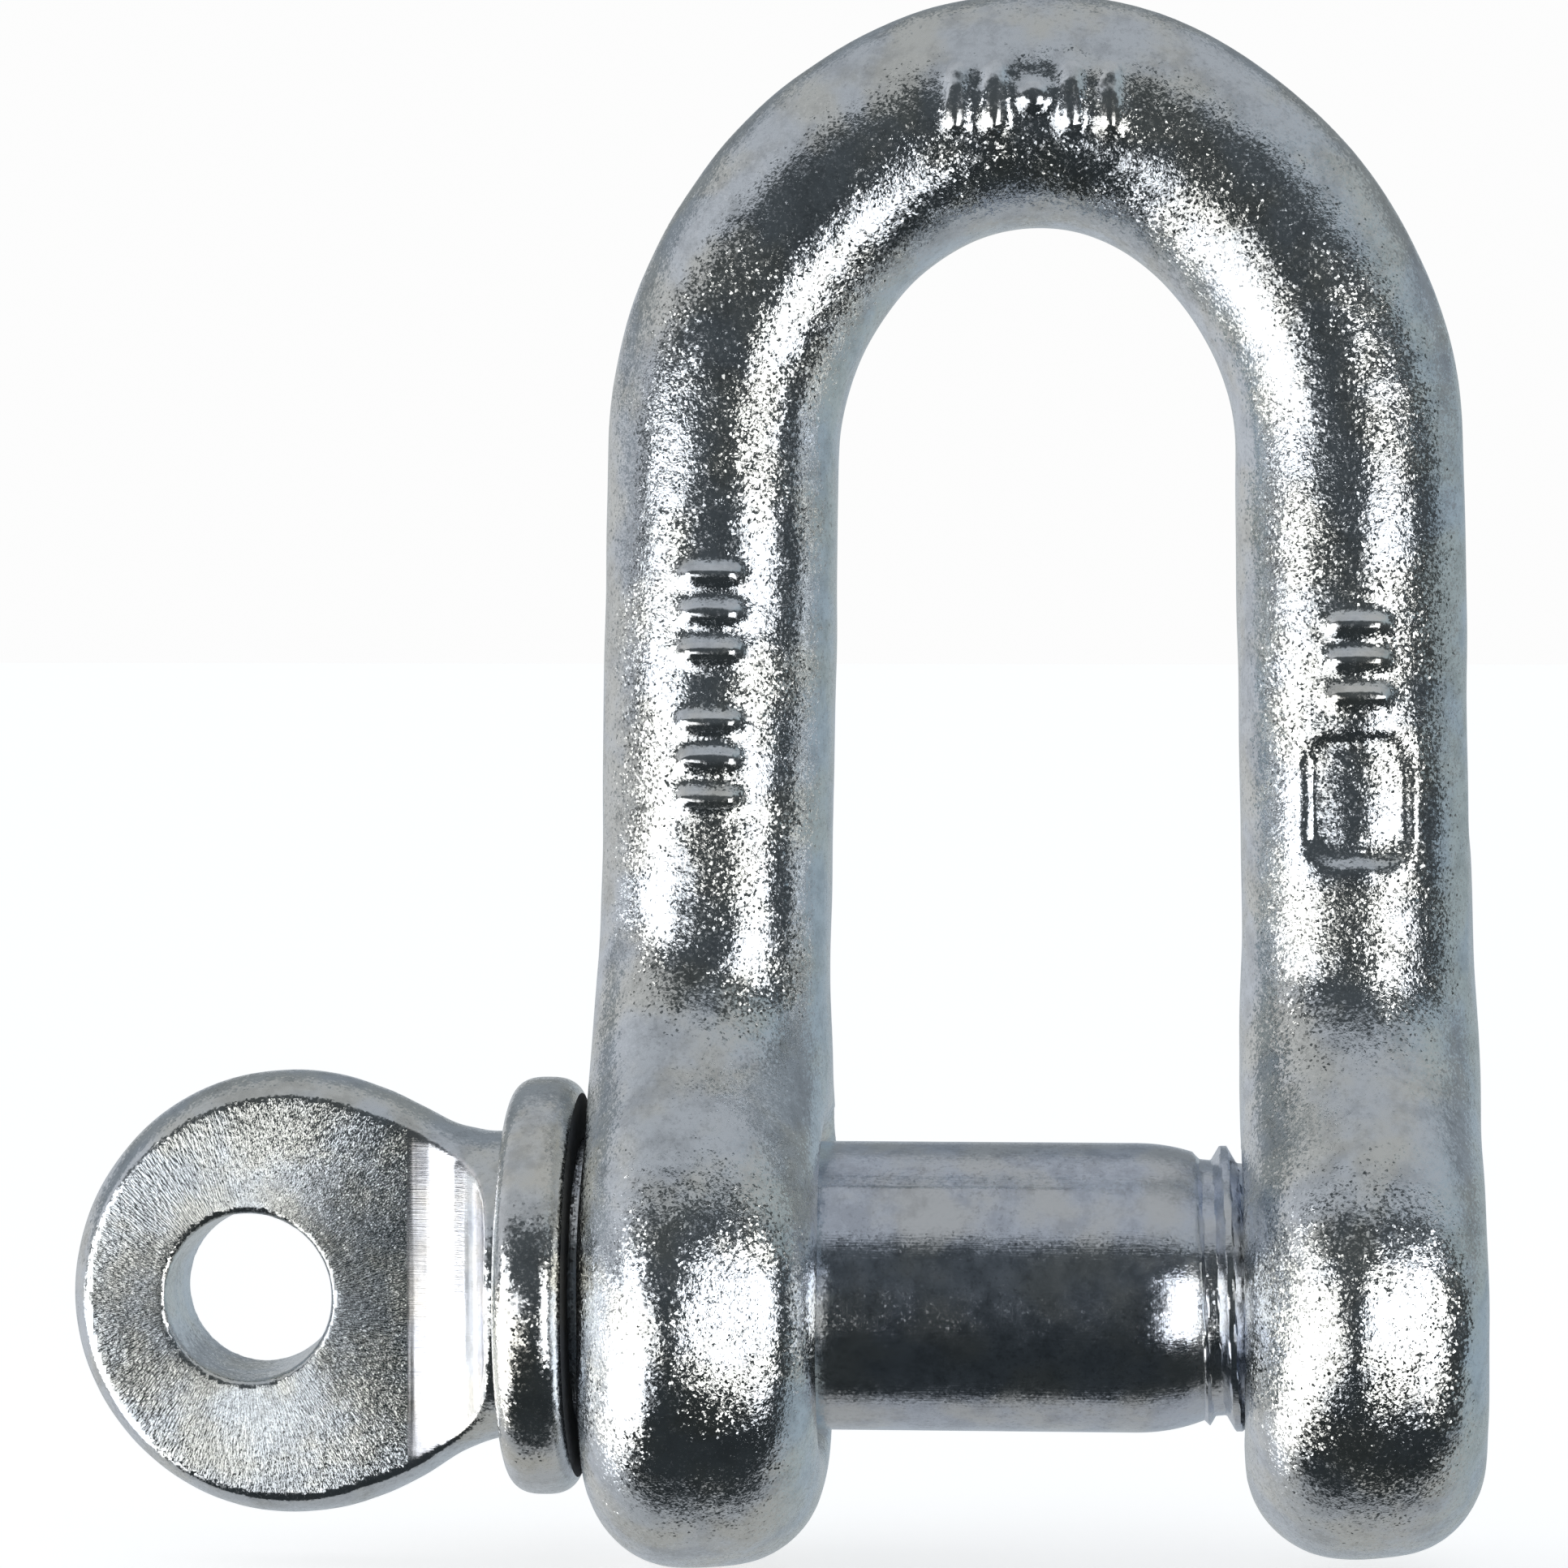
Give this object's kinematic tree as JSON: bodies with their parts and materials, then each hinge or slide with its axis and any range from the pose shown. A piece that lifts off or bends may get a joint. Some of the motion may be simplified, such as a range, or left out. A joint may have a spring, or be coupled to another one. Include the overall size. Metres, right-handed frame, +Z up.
{
  "type": "screw-pin dee shackle",
  "caption": "Forged dee shackle: round bar bent to a D with two eyes, closed by a collared, threaded pin that has a flat eye tab.",
  "frame": {"origin": "on the pin's axis, midway between the two ears", "axes": "+Z up from the pin to the crown, +X along the pin from its head towards its threaded end, Y through the shackle"},
  "size_m": [0.0979, 0.0392, 0.1086],
  "materials": {
    "zinc_plated_steel": "bright blue-white zinc plating over drop-forged steel, finely pitted"
  },
  "bodies": {
    "bow": {"bow": "zinc_plated_steel"},
    "collar": {"pin_collar": "zinc_plated_steel"},
    "pin": {"screw_pin": "zinc_plated_steel"}
  },
  "joints": [
    {"name": "pin_travel", "type": "slide", "parent": "bow", "child": "collar", "axis": [-1, 0, 0], "range_m": [-0.00031, 0.06125]},
    {"name": "pin_turn", "type": "hinge", "parent": "collar", "child": "pin", "pos_m": [0, 0, 0], "axis": [-1, 0, 0], "range_deg": [-45.5, 8821]}
  ],
  "couplings": [
    {"joint": "pin_turn", "follows": "pin_travel", "rad_per_m": 2513.3}
  ]
}
